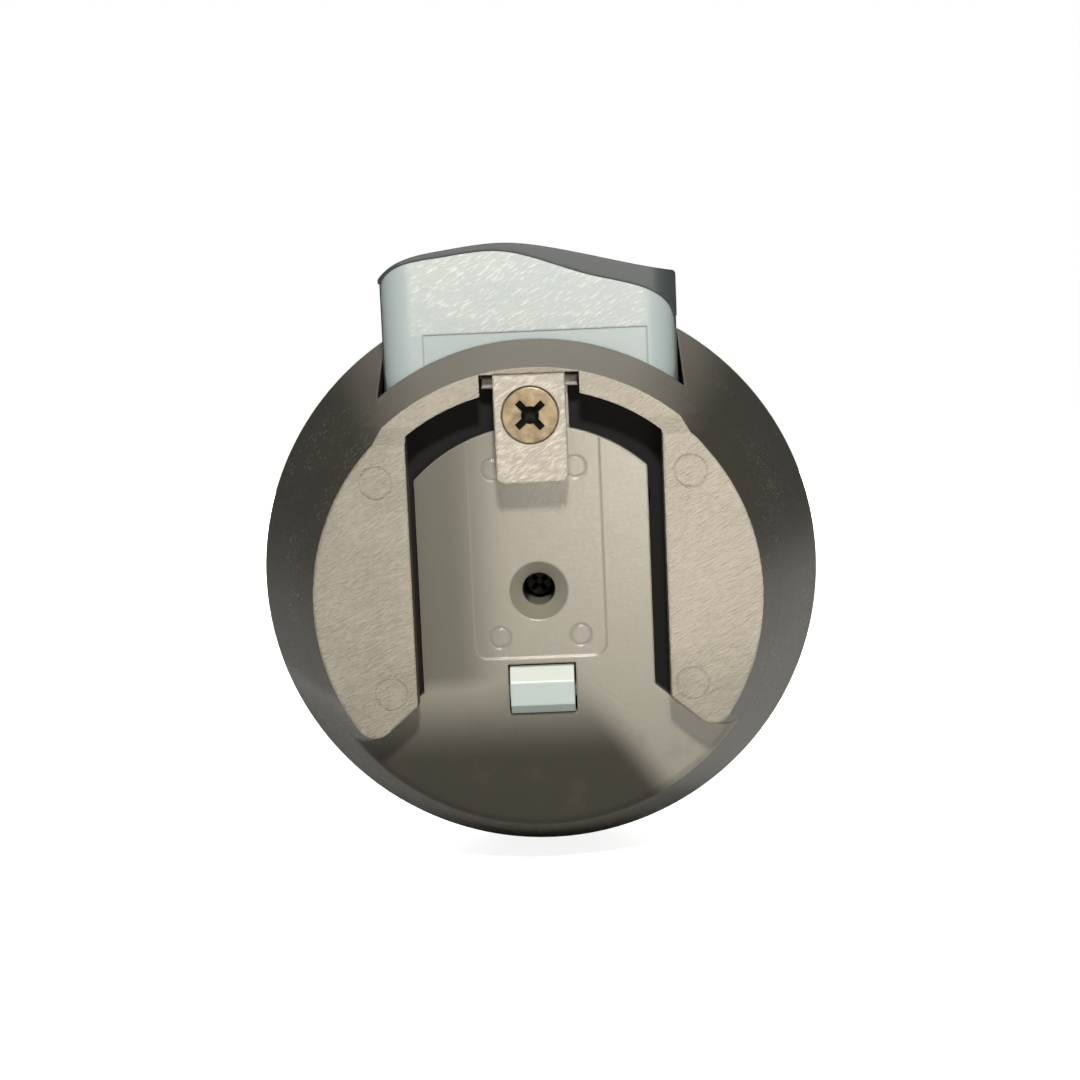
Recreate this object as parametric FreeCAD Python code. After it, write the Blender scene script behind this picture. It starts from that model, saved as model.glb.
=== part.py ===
import FreeCAD, Part
import math
import os

# A compact electronic parking meter head. A round two-part housing docks on the tongue of a post or
# wall bracket by the horseshoe of rails on its back. A wide button in the rim slides down and, through
# a wedge, pulls a sprung latch inside.
# Frame: +Z up, +X to the right as the back is seen, +Y from the back to the front with the display.
# Millimetres.
# The origin is on the housing's axis, in the plane of the dock floor that the bracket's tongue slides on.

# Housing
housing_radius = 46.0
floor_radius = 37.3            # the tapered shoulder's radius in the plane of the dock floor
shoulder_end_y = 24.0          # the shoulder meets the full radius here
joint_y = 25.4                 # joint between the rear and front shells
front_y = 41.6                 # outer face of the front
front_edge_radius = 42.0       # flat front, inside the rounded edge
front_edge_y = 36.0
floor_thickness = 2.6
shell_wall = 2.2
front_wall = 3.2
floor_edge_fillet = 1.4
rim_fillet = 1.2
front_edge_fillet = 4.0
register_thickness = 1.0       # lip of the rear shell that enters the front shell
register_length = 2.0
fit_gap = 0.15                 # between pieces that locate each other

# Dock rails on the back
pad_height = 8.5
pad_top_room = 0.65            # from a pad's top edge to where the mouth's arch starts
pad_low_z = -15.9              # inner corner of a pad's slanted lower end
pad_low_slope = 0.85
pad_tip_fillet = 3.0
arch_height = 6.0
arch_start_z = 24.4
rail_draft = 0.3625            # how fast the rails narrow away from the floor
witness_step = 0.02            # the rails' outer wall stands this far inside the shoulder's taper
mouth_left = 19.0              # the lips, from the middle plane
mouth_right = 19.7
mouth_radius = 31.8
channel_half = 22.6            # undercut behind the lips, the tongue's width
channel_radius = 34.2
channel_height = 4.4
plate_left = 18.6              # floor plate left between the moulding slots, from the middle plane
plate_right = 17.6
plate_radius = 25.9
slot_low_z = -15.4             # where the slots end, at the plate's sides
edge_fillet = 0.5

# Marks left by the mould
panel_half = 10.3
panel_low_z = -10.5
panel_top_z = 25.6
panel_depth = 0.2
panel_corner = 2.0
mark_depth = 0.15
mark_groove = 0.3
floor_marks = [(6.5, 19.2, 1.75), (6.3, -7.2, 1.75)]    # x, z, radius, each side
pad_marks = [(23.8, 18.6, 2.6), (23.0, -13.9, 2.6)]

# Centre hole with the case screw deep in it
hole_radius = 2.56
dish_radius = 4.8
dish_depth = 2.4
centre_boss_radius = 5.6
centre_boss_y = 15.0
case_seat_y = 11.0
case_head_radius = 2.4
case_head_height = 1.8
case_thread_radius = 1.3
case_screw_end_y = 27.0
post_radius = 4.4

# Retainer clip and its screw
clip_half = 5.45
clip_low_z = 17.7
clip_top_z = 34.1
clip_height = 8.3
clip_block_z = 26.4
ear_half = 7.35
ear_low_z = 31.9
ear_top_y = -2.8
ear_bottom_y = -0.6
clip_corner = 1.2
notch_gap = 0.25
clip_top_gap = 0.08
bridge_half = 5.8
screw_z = 28.0
clip_screw_radius = 2.45
clip_screw_head = 4.3
clip_screw_rim = 0.5
clip_screw_proud = 0.1
clip_screw_end_y = 10.5
clip_boss_radius = 4.2
clip_boss_y = 12.2

# Release button, its thumb pad and the slider behind the dock floor
button_half = 23.0
button_back_y = 5.2
button_split_y = 13.0          # the cap meets the button here
button_low_z = 30.5
button_relief_half = 13.2      # the middle is cut short, clear of the clip's boss
button_relief_z = 36.6
button_wall = 2.2
button_edge = 4.5
button_gap = 0.5
button_line_z = 40.2           # lower edge of the textured back face
button_line_depth = 0.2
# waves of the button's and the cap's tops: share of the half width, and z
button_wave = [(-1.0, 48.4), (-0.93, 50.1), (-0.61, 52.0), (-0.17, 52.7), (0.2, 50.3), (0.46, 48.3),
               (0.74, 46.6), (0.9, 44.8), (1.0, 41.5)]
cap_wave = [(-1.0, 49.0), (-0.85, 51.6), (-0.55, 53.2), (-0.13, 54.0), (0.17, 53.0), (0.51, 51.1),
            (1.0, 48.6)]
cap_side = 0.5                 # how far the cap stands out past the button's sides
cap_setback = 0.8
cap_edge_fillet = 4.0
cap_corner_fillet = 0.8
release_travel = 3.5
slider_y = (4.6, 6.8)
leg_inner = 8.5
leg_outer = 12.3
slider_low_z = -25.5
slider_bar = 3.4
leg_top_z = 33.0
hook_y = (7.4, 9.6)            # the slider's hook inside the button
hook_low_z = 29.5
hook_bar_z = (36.6, 40.2)

# Latch bolt and the wedge that draws it in
latch_travel = 2.6
latch_half = 5.0
latch_low_z = -19.1
latch_top_z = -11.8
latch_back_y = 9.0
latch_low_bevel = 1.5
latch_top_bevel = 2.1
latch_bevel_depth = 1.8
window_gap = 0.3
wedge_z = -15.5                # a point on the wedge's slope, at rest
wedge_y = 8.0
wedge_gap = 0.05
wedge_top_z = -12.0
wing_z = (-18.2, -14.2)
wing_back_y = 9.4
wing_outer = 11.9
latch_pocket_y = 2.0
latch_pocket_radius = 2.3

# Springs
spring_wire = 0.35
latch_spring_radius = 1.75
latch_spring_turns = 6
return_spring_radius = 1.75
return_spring_turns = 6
return_spring_x = 9.4
return_spring_y = 5.7
ledge_z = (-35.4, -34.2)
ledge_half = 11.6
spring_stud_radius = 1.1
spring_stud_length = 2.4

# Inner chassis: keeps the wet side with the mechanism apart from the electronics
chassis_y = (12.4, 13.6)
chassis_gap = 0.4
chassis_wall = 1.2
chassis_screws_at = [(15.3, 14.0), (15.3, -24.0), (30.0, -6.0)]
chassis_boss_radius = 2.4
seal_thickness = 0.8
shield_thickness = 0.8
shield_overlap = 1.2
small_screw_radius = 1.05
small_screw_head = 2.1
small_screw_head_height = 1.2

# Front: fascia, window, keys
fascia_radius = 38.6
fascia_thickness = 1.4
window_half = 23.5
window_z = (7.2, 27.2)
window_corner = 2.5
lens_flange = 1.5
gasket_thickness = 0.6
lens_flange_thickness = 0.8
display_half = 25.6
display_z = (5.4, 28.8)
display_thickness = 2.4
display_frame_wall = 1.4
key_z = -11.5
key_x = 18.0
key_radius = 5.3
ok_key_half = 3.0              # half the straight part of the middle key
key_gap = 0.25
key_travel = 0.8
key_proud = 1.2
key_flange = 1.2
key_flange_thickness = 1.1
key_rest_gap = 0.1
key_stem_radius = 1.9
symbol_depth = 0.3
symbol_width = 1.0
symbol_length = 4.6
light_at = (31.5, 15.0)
light_radius = 1.6
sounder_at = (-33.0, 13.5)
sounder_radius = 4.6
sounder_height = 3.2
sound_hole_radius = 0.7
sound_hole_pitch = 2.6
tap_z = -27.0
tap_half = (15.0, 6.5)
tap_groove = 0.5
tap_groove_depth = 0.25
antenna_thickness = 0.6

# Board
board_radius = 41.0
board_top_z = 26.0
board_y = (31.7, 33.3)
board_posts_at = [(31.0, 4.0), (31.0, -16.0)]
board_post_radius = 2.6
switch_half = 3.0
switch_body = 1.2
switch_plunger = 1.7

# Batteries: two 17 mm lithium cells lying across the head
cell_radius = 8.4
cell_length = 34.5
cell_y = 23.1
cell_z = (-13.4, -30.4)
tray_gap = 0.2
tray_wall = 1.6
contact_thickness = 0.3
contact_half = 4.2

V = FreeCAD.Vector
origin = V(0, 0, 0)
across = V(1, 0, 0)
inward = V(0, 1, 0)
upward = V(0, 0, 1)
above = 2.0                    # how far a cutting tool stands past the face it cuts
inner_face_y = front_y - front_wall
lens_back_y = inner_face_y - gasket_thickness - lens_flange_thickness
display_y = (lens_back_y - display_thickness, lens_back_y)
pad_top_z = math.sqrt(mouth_radius ** 2 - mouth_right ** 2) - pad_top_room
button_front_y = joint_y - button_gap
wedge_slope = latch_travel / release_travel


def block(x, y, z):
    """A box from its low and high edges on each axis."""
    return Part.makeBox(x[1] - x[0], y[1] - y[0], z[1] - z[0], V(x[0], y[0], z[0]))


def rod(radius, y, x=0.0, z=0.0):
    """A cylinder along Y."""
    return Part.makeCylinder(radius, y[1] - y[0], V(x, y[0], z), inward)


def taper(radius_low, radius_high, y, x=0.0, z=0.0):
    """A cone along Y, from its radius at the low y to its radius at the high y."""
    return Part.makeCone(radius_low, radius_high, y[1] - y[0], V(x, y[0], z), inward)


def ring(radius_out, radius_in, y, x=0.0, z=0.0):
    return rod(radius_out, y, x, z).cut(rod(radius_in, (y[0] - above, y[1] + above), x, z))


def turned(points):
    """A solid of revolution about Y from its half section, as (radius, y) points."""
    corners = [V(r, y, 0) for r, y in points]
    return Part.Face(Part.makePolygon(corners + corners[:1])).revolve(origin, inward, 360)


def plate(points, y):
    """A straight-sided outline in x and z, given thickness along Y."""
    corners = [V(x, y[0], z) for x, z in points]
    return Part.Face(Part.makePolygon(corners + corners[:1])).extrude(V(0, y[1] - y[0], 0))


def side_profile(points, x):
    """An outline in y and z, given thickness along X."""
    corners = [V(x[0], y, z) for y, z in points]
    return Part.Face(Part.makePolygon(corners + corners[:1])).extrude(V(x[1] - x[0], 0, 0))


def mirrored(shape):
    """The same piece on the other side of the middle plane."""
    return shape.mirror(origin, across)


def both(shape):
    return shape.fuse(mirrored(shape))


def edges_where(shape, test):
    found = [e for e in shape.Edges if test(e)]
    if not found:
        raise ValueError("no edge found to round")
    return found


def is_circle(edge, radius, y):
    curve = edge.Curve
    return (isinstance(curve, Part.Circle) and abs(curve.Radius - radius) < 0.01
            and abs(curve.Center.y - y) < 0.01)


def stands_along_y(edge, x, z, reach=0.3):
    """True for an edge that runs mostly along Y and whose middle is near (x, z)."""
    box = edge.BoundBox
    middle = box.Center
    longest_y = box.YLength > max(box.XLength, box.ZLength)
    return longest_y and abs(middle.x - x) < reach and abs(middle.z - z) < reach


def rounded_plate(half, z, y, corner, x=0.0):
    """A plate with four corners of the same radius."""
    body = block((x - half, x + half), y, z)
    return body.makeFillet(corner, [e for e in body.Edges if e.BoundBox.YLength > (y[1] - y[0]) / 2])


def tombstone(left, right, radius, low_z, y):
    """Straight sides up to an arch that is centred on the housing's axis."""
    left_z = math.sqrt(radius ** 2 - left ** 2)
    right_z = math.sqrt(radius ** 2 - right ** 2)
    lines = [Part.LineSegment(V(right, y[0], right_z), V(right, y[0], low_z)),
             Part.LineSegment(V(right, y[0], low_z), V(-left, y[0], low_z)),
             Part.LineSegment(V(-left, y[0], low_z), V(-left, y[0], left_z)),
             Part.Arc(V(-left, y[0], left_z), V(0, y[0], radius), V(right, y[0], right_z))]
    outline = Part.Wire([line.toShape() for line in lines])
    return Part.Face(outline).extrude(V(0, y[1] - y[0], 0))


def below_slope(side, low_z, y):
    """Everything below a line that falls outwards from z = low_z at x = side, on the right."""
    far = 50.0
    corners = [(0, low_z + pad_low_slope * side), (far, low_z - pad_low_slope * (far - side)), (far, -90),
               (0, -90)]
    return plate(corners, y)


def rail_radius(y):
    return floor_radius + rail_draft * y - witness_step


def rail_cone(y):
    """The shoulder's taper carried on past the floor, a witness line's depth inside it."""
    return taper(rail_radius(y[0]), rail_radius(y[1]), y)


def coil(radius, wire, length, turns):
    """A compression spring standing on the origin along +Z, with flat closed ends left out."""
    pitch = (length - 2 * wire) / turns
    path = Part.makeHelix(pitch, length - 2 * wire, radius)
    path.translate(V(0, 0, wire))
    section = Part.Wire(Part.makeCircle(wire, V(radius, 0, wire), inward))
    return Part.Wire(path.Edges).makePipeShell([section], True, True)


def along_inward(shape):
    """Turns a piece that stands along +Z to point along +Y."""
    shape.rotate(origin, across, -90)
    return shape


def cross_recess(span, width, depth, y):
    """A cross-point recess whose wings narrow towards the bottom, opening towards -Y."""
    wing = side_profile([(y - above, -span / 2), (y, -span / 2), (y + depth, -span / 6),
                         (y + depth, span / 6), (y, span / 2), (y - above, span / 2)],
                        (-width / 2, width / 2))
    other = wing.copy()
    other.rotate(origin, inward, 90)
    both_wings = wing.fuse(other)
    both_wings.rotate(origin, inward, 48)
    return both_wings


# Rear shell and what is moulded on it

def dock_rails():
    """The horseshoe: two pads and a lower arch whose outer wall carries on the shoulder's taper."""
    root = 3.0                 # how far the rails reach into the shell behind the floor
    arch = rail_cone((-arch_height, root)).common(block((-50, 50), (-10, 10), (arch_start_z, 50)))
    step = pad_height - arch_height
    pads = rail_cone((-pad_height, root))
    pads = pads.common(side_profile([(root, -50), (-pad_height - 1, -50), (-pad_height - 1, pad_top_z - 1),
                                     (-pad_height, pad_top_z), (-arch_height, pad_top_z + step),
                                     (root, pad_top_z + step)], (-50, 50)))
    pads = pads.cut(below_slope(mouth_right, pad_low_z, (-10, 10)))
    pads = pads.cut(mirrored(below_slope(mouth_left, pad_low_z, (-10, 10))))
    rails = arch.fuse(pads).cut(tombstone(mouth_left, mouth_right, mouth_radius, -60, (-10, 10)))
    rails = rails.removeSplitter()
    tips = [e for e in rails.Edges
            if e.BoundBox.YLength > pad_height * 0.8 and e.BoundBox.Center.z < pad_low_z
            and abs(e.BoundBox.Center.x) > channel_half]
    rails = rails.makeFillet(pad_tip_fillet, tips)
    top = [e for e in rails.Edges if e.BoundBox.YMax < -pad_height + 0.01]
    return rails.makeFillet(edge_fillet, top)


def rear_shell():
    outer = turned([(0, 0), (floor_radius, 0), (housing_radius, shoulder_end_y), (housing_radius, joint_y),
                    (0, joint_y)])
    outer = outer.makeFillet(floor_edge_fillet, edges_where(outer, lambda e: is_circle(e, floor_radius, 0)))
    outer = outer.makeFillet(rim_fillet, edges_where(outer,
                                                     lambda e: is_circle(e, housing_radius,
                                                                         shoulder_end_y)))
    inner_radius = housing_radius - shell_wall
    cavity = turned([(0, floor_thickness), (inner_radius_at(floor_thickness), floor_thickness),
                     (inner_radius, shoulder_end_y), (inner_radius, joint_y + above), (0, joint_y + above)])
    register = ring(inner_radius + register_thickness, inner_radius,
                    (joint_y - 1.0, joint_y + register_length))
    shell = outer.cut(cavity).fuse(register)
    boss_foot = floor_thickness - 0.4
    shell = shell.fuse(dock_rails().cut(cavity))
    shell = shell.fuse(rod(centre_boss_radius, (boss_foot, centre_boss_y)))
    shell = shell.fuse(rod(clip_boss_radius, (boss_foot, clip_boss_y), z=screw_z))
    for x, z in chassis_screws_at:
        shell = shell.fuse(both(rod(chassis_boss_radius, (boss_foot, chassis_y[0]), x, z)))
    guide = block((latch_half + 0.5, latch_half + 1.7), (boss_foot, 6.4),
                  (latch_low_z - 0.5, latch_top_z + 0.5))
    shell = shell.fuse(both(guide))
    shell = shell.fuse(block((-ledge_half, ledge_half), (boss_foot, 8.6), ledge_z))
    return cut_rear_shell(shell).removeSplitter()


def slot_cutter():
    """The U of slots through the floor that form the lips' undercut."""
    y = (-0.5, floor_thickness + 0.5)
    plate_part = tombstone(plate_left, plate_right, plate_radius, -60, (-1, floor_thickness + 1))
    slots = tombstone(channel_half, channel_half, channel_radius, -60, y).cut(plate_part)
    slots = slots.cut(below_slope(plate_right, slot_low_z, (-1, floor_thickness + 1)))
    slots = slots.cut(mirrored(below_slope(plate_left, slot_low_z, (-1, floor_thickness + 1))))
    return slots.cut(block((-bridge_half, bridge_half), (-1, floor_thickness + 1), (0, 40)))


def cut_rear_shell(shell):
    # channel behind the lips, and the slots that form it
    shell = shell.cut(tombstone(channel_half, channel_half, channel_radius, -60, (-channel_height, 0)))
    shell = shell.cut(slot_cutter())
    # notch in the arch for the clip and its ears
    notch_half = ear_half + notch_gap
    shell = shell.cut(block((-notch_half, notch_half), (-arch_height - above, 0),
                            (plate_radius, clip_top_z + clip_top_gap)))
    # mould marks
    panel = block((-panel_half, panel_half), (-0.5, panel_depth), (panel_low_z, panel_top_z))
    panel = panel.makeFillet(panel_corner, edges_where(panel,
                                                       lambda e: stands_along_y(e, panel_half, panel_low_z)
                                                       or stands_along_y(e, -panel_half, panel_low_z)))
    shell = shell.cut(panel)
    for x, z, radius in floor_marks:
        groove = ring(radius, radius - mark_groove, (-0.5, panel_depth + mark_depth), x, z)
        shell = shell.cut(both(groove))
    for x, z, radius in pad_marks:
        groove = ring(radius, radius - mark_groove, (-pad_height - 1, -pad_height + mark_depth), x, z)
        shell = shell.cut(both(groove))
    # centre hole: dish, clearance for the screw's head, seat and clearance for its thread
    shell = shell.cut(taper(dish_radius + (dish_radius - hole_radius) * 0.5 / dish_depth, hole_radius,
                            (-0.5, dish_depth)))
    shell = shell.cut(rod(hole_radius, (0, case_seat_y)))
    shell = shell.cut(rod(case_thread_radius + 0.1, (case_seat_y - 1, centre_boss_y + 1)))
    shell = shell.cut(rod(clip_screw_radius + 0.05, (-1, clip_boss_y - 1.0), z=screw_z))
    for x, z in chassis_screws_at:
        shell = shell.cut(both(rod(small_screw_radius + 0.05, (floor_thickness + 1, chassis_y[0] + 1), x,
                                   z)))
    # latch window and the way out for the button
    window = (latch_low_z - window_gap, latch_top_z + window_gap)
    shell = shell.cut(block((-latch_half - window_gap, latch_half + window_gap), (-1, floor_thickness + 1),
                            window))
    return shell.cut(button_way())


def way_edges():
    """Half width, y and low z of the room that the release button slides in."""
    side = button_half + cap_side + button_gap
    low_z = button_low_z - release_travel - button_gap
    return side, (button_back_y - button_gap, joint_y), low_z


def button_way():
    """The notch for the button in the rear shell and its register lip."""
    side, y, low_z = way_edges()
    return block((-side, side), (y[0], y[1] + register_length + seal_thickness + 1), (low_z, 70))


def retainer_clip():
    """T-shaped clip: a lip over the tongue's end, a block on the bridge and two ears in the notch."""
    lip = block((-clip_half, clip_half), (-clip_height, -channel_height - 0.2), (clip_low_z, clip_top_z))
    lip = lip.makeFillet(clip_corner, edges_where(lip, lambda e: stands_along_y(e, clip_half, clip_low_z)
                                                  or stands_along_y(e, -clip_half, clip_low_z)))
    lip = lip.makeFillet(0.4, edges_where(lip, lambda e: e.BoundBox.YMax < -clip_height + 0.01))
    foot = block((-clip_half, clip_half), (-channel_height - 1, 0), (clip_block_z, clip_top_z))
    ears = block((-ear_half, ear_half), (ear_top_y, ear_bottom_y), (ear_low_z, clip_top_z - 0.4))
    ears = ears.makeFillet(0.5, edges_where(ears, lambda e: e.BoundBox.YMax < ear_top_y + 0.01))
    clip = lip.fuse(foot).fuse(ears)
    cone = clip_screw_head - clip_screw_radius
    clip = clip.cut(rod(clip_screw_radius + 0.15, (-clip_height - 1, 1), z=screw_z))
    seat = taper(clip_screw_head + 0.15, clip_screw_radius + 0.15,
                 (-clip_height + 0.3, -clip_height + 0.3 + cone), z=screw_z)
    clip = clip.cut(seat)
    clip = clip.cut(rod(clip_screw_head + 0.15, (-clip_height - 1, -clip_height + 0.3), z=screw_z))
    return clip.removeSplitter()


def retainer_screw():
    """Countersunk screw with a cross recess, its head a little proud of the clip."""
    head_y = -clip_height - clip_screw_proud
    cone_y = head_y + clip_screw_rim
    cone = clip_screw_head - clip_screw_radius
    screw = rod(clip_screw_head, (head_y, cone_y), z=screw_z)
    screw = screw.makeFillet(0.2, edges_where(screw, lambda e: is_circle(e, clip_screw_head, head_y)))
    screw = screw.fuse(taper(clip_screw_head, clip_screw_radius, (cone_y, cone_y + cone), z=screw_z))
    screw = screw.fuse(rod(clip_screw_radius, (cone_y + cone - 0.1, clip_screw_end_y), z=screw_z))
    recess = cross_recess(5.4, 1.0, 2.0, head_y)
    recess.translate(V(0, 0, screw_z))
    heart = taper(1.35, 0.7, (head_y - 0.01, head_y + 2.2), z=screw_z)
    return screw.cut(recess).cut(heart).removeSplitter()


def case_screw():
    """The one screw that holds the shells together, reached through the dock's centre hole."""
    head_y = case_seat_y - case_head_height
    screw = rod(case_head_radius, (head_y, case_seat_y))
    screw = screw.makeFillet(0.6, edges_where(screw, lambda e: is_circle(e, case_head_radius, head_y)))
    screw = screw.fuse(rod(case_thread_radius, (case_seat_y - 0.1, case_screw_end_y)))
    return screw.cut(cross_recess(3.0, 0.7, 1.1, head_y)).removeSplitter()


# Release button, slider and latch

def crest(wave, half, y, drop=0.0):
    """The points of a wave across a piece of the given half width."""
    return [V(share * half, y, z - drop) for share, z in wave]


def curve_through(points):
    curve = Part.BSplineCurve()
    curve.interpolate(points)
    return curve.toShape()


def under_wave(wave, half, y, low_z, length, shelf=0.0):
    """A body of a wave's section, with upright sides set out by shelf, from low_z up to the wave."""
    points = crest(wave, half, y)
    start, stop = points[0], points[-1]
    low = [V(half + shelf, y, low_z), V(-half - shelf, y, low_z)]
    route = [stop, low[0], low[1], start]
    if shelf > 0:
        route = [stop, V(half + shelf, y, stop.z), low[0], low[1], V(-half - shelf, y, start.z), start]
    sides = [Part.LineSegment(route[i], route[i + 1]).toShape() for i in range(len(route) - 1)]
    return Part.Face(Part.Wire([curve_through(points)] + sides)).extrude(V(0, length, 0))


def wave_room(wave, half, y):
    """The hollow inside a waved piece, one wall below the wave and open below."""
    points = [(p.x, p.z) for p in crest(wave, half, 0, button_wall)]
    return plate(points + [(half, 0), (-half, 0)], y)


def middle_relief(y):
    """Room over the clip's boss."""
    return block((-button_relief_half, button_relief_half), y, (0, button_relief_z))


def release_button():
    """Light back part of the button, open below and towards the cap, whose top follows a wave."""
    length = button_split_y - button_back_y
    body = under_wave(button_wave, button_half, button_back_y, button_low_z, length)
    corners = edges_where(body, lambda e: e.BoundBox.ZLength > 6 and e.BoundBox.XLength < 0.01
                          and e.BoundBox.YMax < button_back_y + 0.01)
    body = body.makeFillet(button_edge, corners)
    body = body.cut(wave_room(button_wave, button_half - button_wall,
                              (button_back_y + button_wall, button_split_y + 1)))
    flat = button_half - button_edge
    step = block((-flat + 2, flat), (button_back_y - 1, button_back_y + button_line_depth),
                 (0, button_line_z))
    return body.cut(middle_relief((0, button_split_y + 1))).cut(step)


def button_cap():
    """Dark front part of the button, whose soft top also covers the light part's wave."""
    side = button_half + cap_side
    back = button_back_y + cap_setback
    cap = under_wave(cap_wave, side, back, button_low_z, button_front_y - back)
    front_edge = edges_where(cap, lambda e: e.BoundBox.YMin > button_front_y - 0.01
                             and e.BoundBox.XLength > side
                             and e.BoundBox.ZMin > button_low_z + 1)
    cap = cap.makeFillet(cap_edge_fillet, front_edge)
    shoulders = edges_where(cap, lambda e: e.BoundBox.YLength > 1 and e.BoundBox.XLength < 0.01
                            and e.BoundBox.ZMin > button_low_z + 5)
    cap = cap.makeFillet(cap_corner_fillet, shoulders)
    cap = cap.cut(under_wave(button_wave, button_half, 0, 0, button_split_y, cap_side + 1))
    # the cap follows the rounded back corners of the button
    corner = button_edge - cap_setback + cap_side
    plan = block((-side, side), (back, button_front_y + 1), (0, 90))
    plan = plan.makeFillet(corner, edges_where(plan, lambda e: e.BoundBox.ZLength > 80
                                               and e.BoundBox.YMax < back + 0.01))
    cap = cap.common(plan)
    cap = cap.cut(wave_room(button_wave, side - button_wall,
                            (button_split_y - 1, button_front_y - button_wall)))
    return cap.cut(middle_relief((0, button_front_y - button_wall))).removeSplitter()


def release_slider():
    """Yoke behind the dock floor: a hook in the button, two legs, and the wedges that lift the latch."""
    leg = block((leg_inner, leg_outer), slider_y, (slider_low_z, leg_top_z))
    head = block((leg_inner, leg_outer), (slider_y[0], hook_y[1]), (hook_low_z, leg_top_z))
    tongue = block((leg_inner, leg_outer), hook_y, (hook_low_z, hook_bar_z[1]))
    low_z = wedge_z - (wedge_y - slider_y[1]) / wedge_slope
    high_y = wedge_y + wedge_slope * (wedge_top_z - wedge_z)
    wedge = side_profile([(slider_y[1] - 0.5, low_z), (slider_y[1], low_z), (high_y, wedge_top_z),
                          (slider_y[1] - 0.5, wedge_top_z)], (leg_inner, leg_outer))
    yoke = both(leg.fuse(head).fuse(tongue).fuse(wedge))
    yoke = yoke.fuse(block((-leg_outer, leg_outer), hook_y, hook_bar_z))
    yoke = yoke.fuse(block((-leg_outer, leg_outer), slider_y, (slider_low_z, slider_low_z + slider_bar)))
    stud = Part.makeCylinder(spring_stud_radius, spring_stud_length + 0.5,
                             V(return_spring_x, return_spring_y, slider_low_z - spring_stud_length), upward)
    return yoke.fuse(both(stud)).removeSplitter()


def latch_bolt():
    """Bevelled bolt with two wings that ride on the slider's wedges, and a pocket for its spring."""
    nose = -latch_travel
    bolt = side_profile([(nose, latch_low_z + latch_low_bevel), (nose, latch_top_z - latch_top_bevel),
                         (nose + latch_bevel_depth, latch_top_z), (latch_back_y, latch_top_z),
                         (latch_back_y, latch_low_z), (nose + latch_bevel_depth, latch_low_z)],
                        (-latch_half, latch_half))
    slide = slider_y[1] + 0.15
    low_z = wedge_z - (wedge_y + wedge_gap - slide) / wedge_slope
    high_y = wedge_y + wedge_gap + wedge_slope * (wing_z[1] - wedge_z)
    wing = side_profile([(slide, wing_z[0]), (slide, low_z), (high_y, wing_z[1]), (wing_back_y, wing_z[1]),
                         (wing_back_y, wing_z[0])], (-wing_outer, wing_outer))
    bolt = bolt.fuse(wing)
    pocket = rod(latch_pocket_radius, (latch_pocket_y, latch_back_y + above),
                 z=(latch_low_z + latch_top_z) / 2)
    return bolt.cut(pocket).removeSplitter()


def latch_spring():
    spring = along_inward(coil(latch_spring_radius, spring_wire, chassis_y[0] - latch_pocket_y,
                               latch_spring_turns))
    spring.translate(V(0, latch_pocket_y, (latch_low_z + latch_top_z) / 2))
    return spring


def return_springs():
    spring = coil(return_spring_radius, spring_wire, slider_low_z - ledge_z[1], return_spring_turns)
    spring.translate(V(return_spring_x, return_spring_y, ledge_z[1]))
    return Part.makeCompound([spring, mirrored(spring)])


def small_screw(x, z, seat_y, end_y, towards_back):
    """Pan-head screw whose head lies on seat_y and whose thread ends at end_y."""
    away = -1 if towards_back else 1
    head = sorted([seat_y, seat_y - away * small_screw_head_height])
    thread = sorted([seat_y - away * 0.1, end_y])
    return rod(small_screw_head, head, x, z).fuse(rod(small_screw_radius, thread, x, z))


def inner_radius_at(y):
    """Radius of the housing's inner wall at a height y above the dock floor."""
    along = min(1.0, (y - floor_thickness) / (shoulder_end_y - floor_thickness))
    low = floor_radius - shell_wall
    return low + along * (housing_radius - shell_wall - low)


def inner_chassis():
    """Plate over the slider and the latch, with a pocket round the button's room."""
    side, way_y, way_low = way_edges()
    wall = chassis_wall
    pocket_side = side + 0.4
    pocket_front = way_y[1] + 0.4
    far = pocket_front + wall
    disc = rod(inner_radius_at(chassis_y[0]) - chassis_gap, chassis_y)
    disc = disc.common(block((-50, 50), (0, 50), (-50, way_low)))
    shelf = block((-pocket_side - wall, pocket_side + wall), (chassis_y[0], far), (way_low - wall, way_low))
    cheek = block((pocket_side, pocket_side + wall), (chassis_y[0], far), (way_low - wall, 60))
    front = block((-pocket_side - wall, pocket_side + wall), (pocket_front, far), (way_low - wall, 60))
    pocket = both(cheek).fuse(front).fuse(shelf)
    room_low = inner_radius_at(chassis_y[0]) - chassis_gap
    room_high = housing_radius - shell_wall - chassis_gap
    room = turned([(0, chassis_y[0]), (room_low, chassis_y[0]), (room_high, shoulder_end_y),
                   (room_high, far + 1),
                   (0, far + 1)])
    chassis = disc.fuse(pocket.common(room))
    chassis = chassis.cut(rod(centre_boss_radius + 0.3, (chassis_y[0] - 1, chassis_y[1] + 1)))
    for x, z in chassis_screws_at:
        chassis = chassis.cut(both(rod(small_screw_radius + 0.15, (chassis_y[0] - 1, chassis_y[1] + 1), x,
                                       z)))
    return chassis.removeSplitter()


def chassis_screws():
    screws = []
    for x, z in chassis_screws_at:
        screw = small_screw(x, z, chassis_y[1], floor_thickness + 2.4, True)
        screws += [screw, mirrored(screw)]
    return Part.makeCompound(screws)


def perimeter_seal():
    """Soft ring between the end of the rear shell's lip and the front shell, open where the button passes."""
    inner_radius = housing_radius - shell_wall
    low_y = joint_y + register_length
    seal = ring(inner_radius + register_thickness, inner_radius, (low_y, low_y + seal_thickness))
    return seal.cut(button_way())


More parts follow.
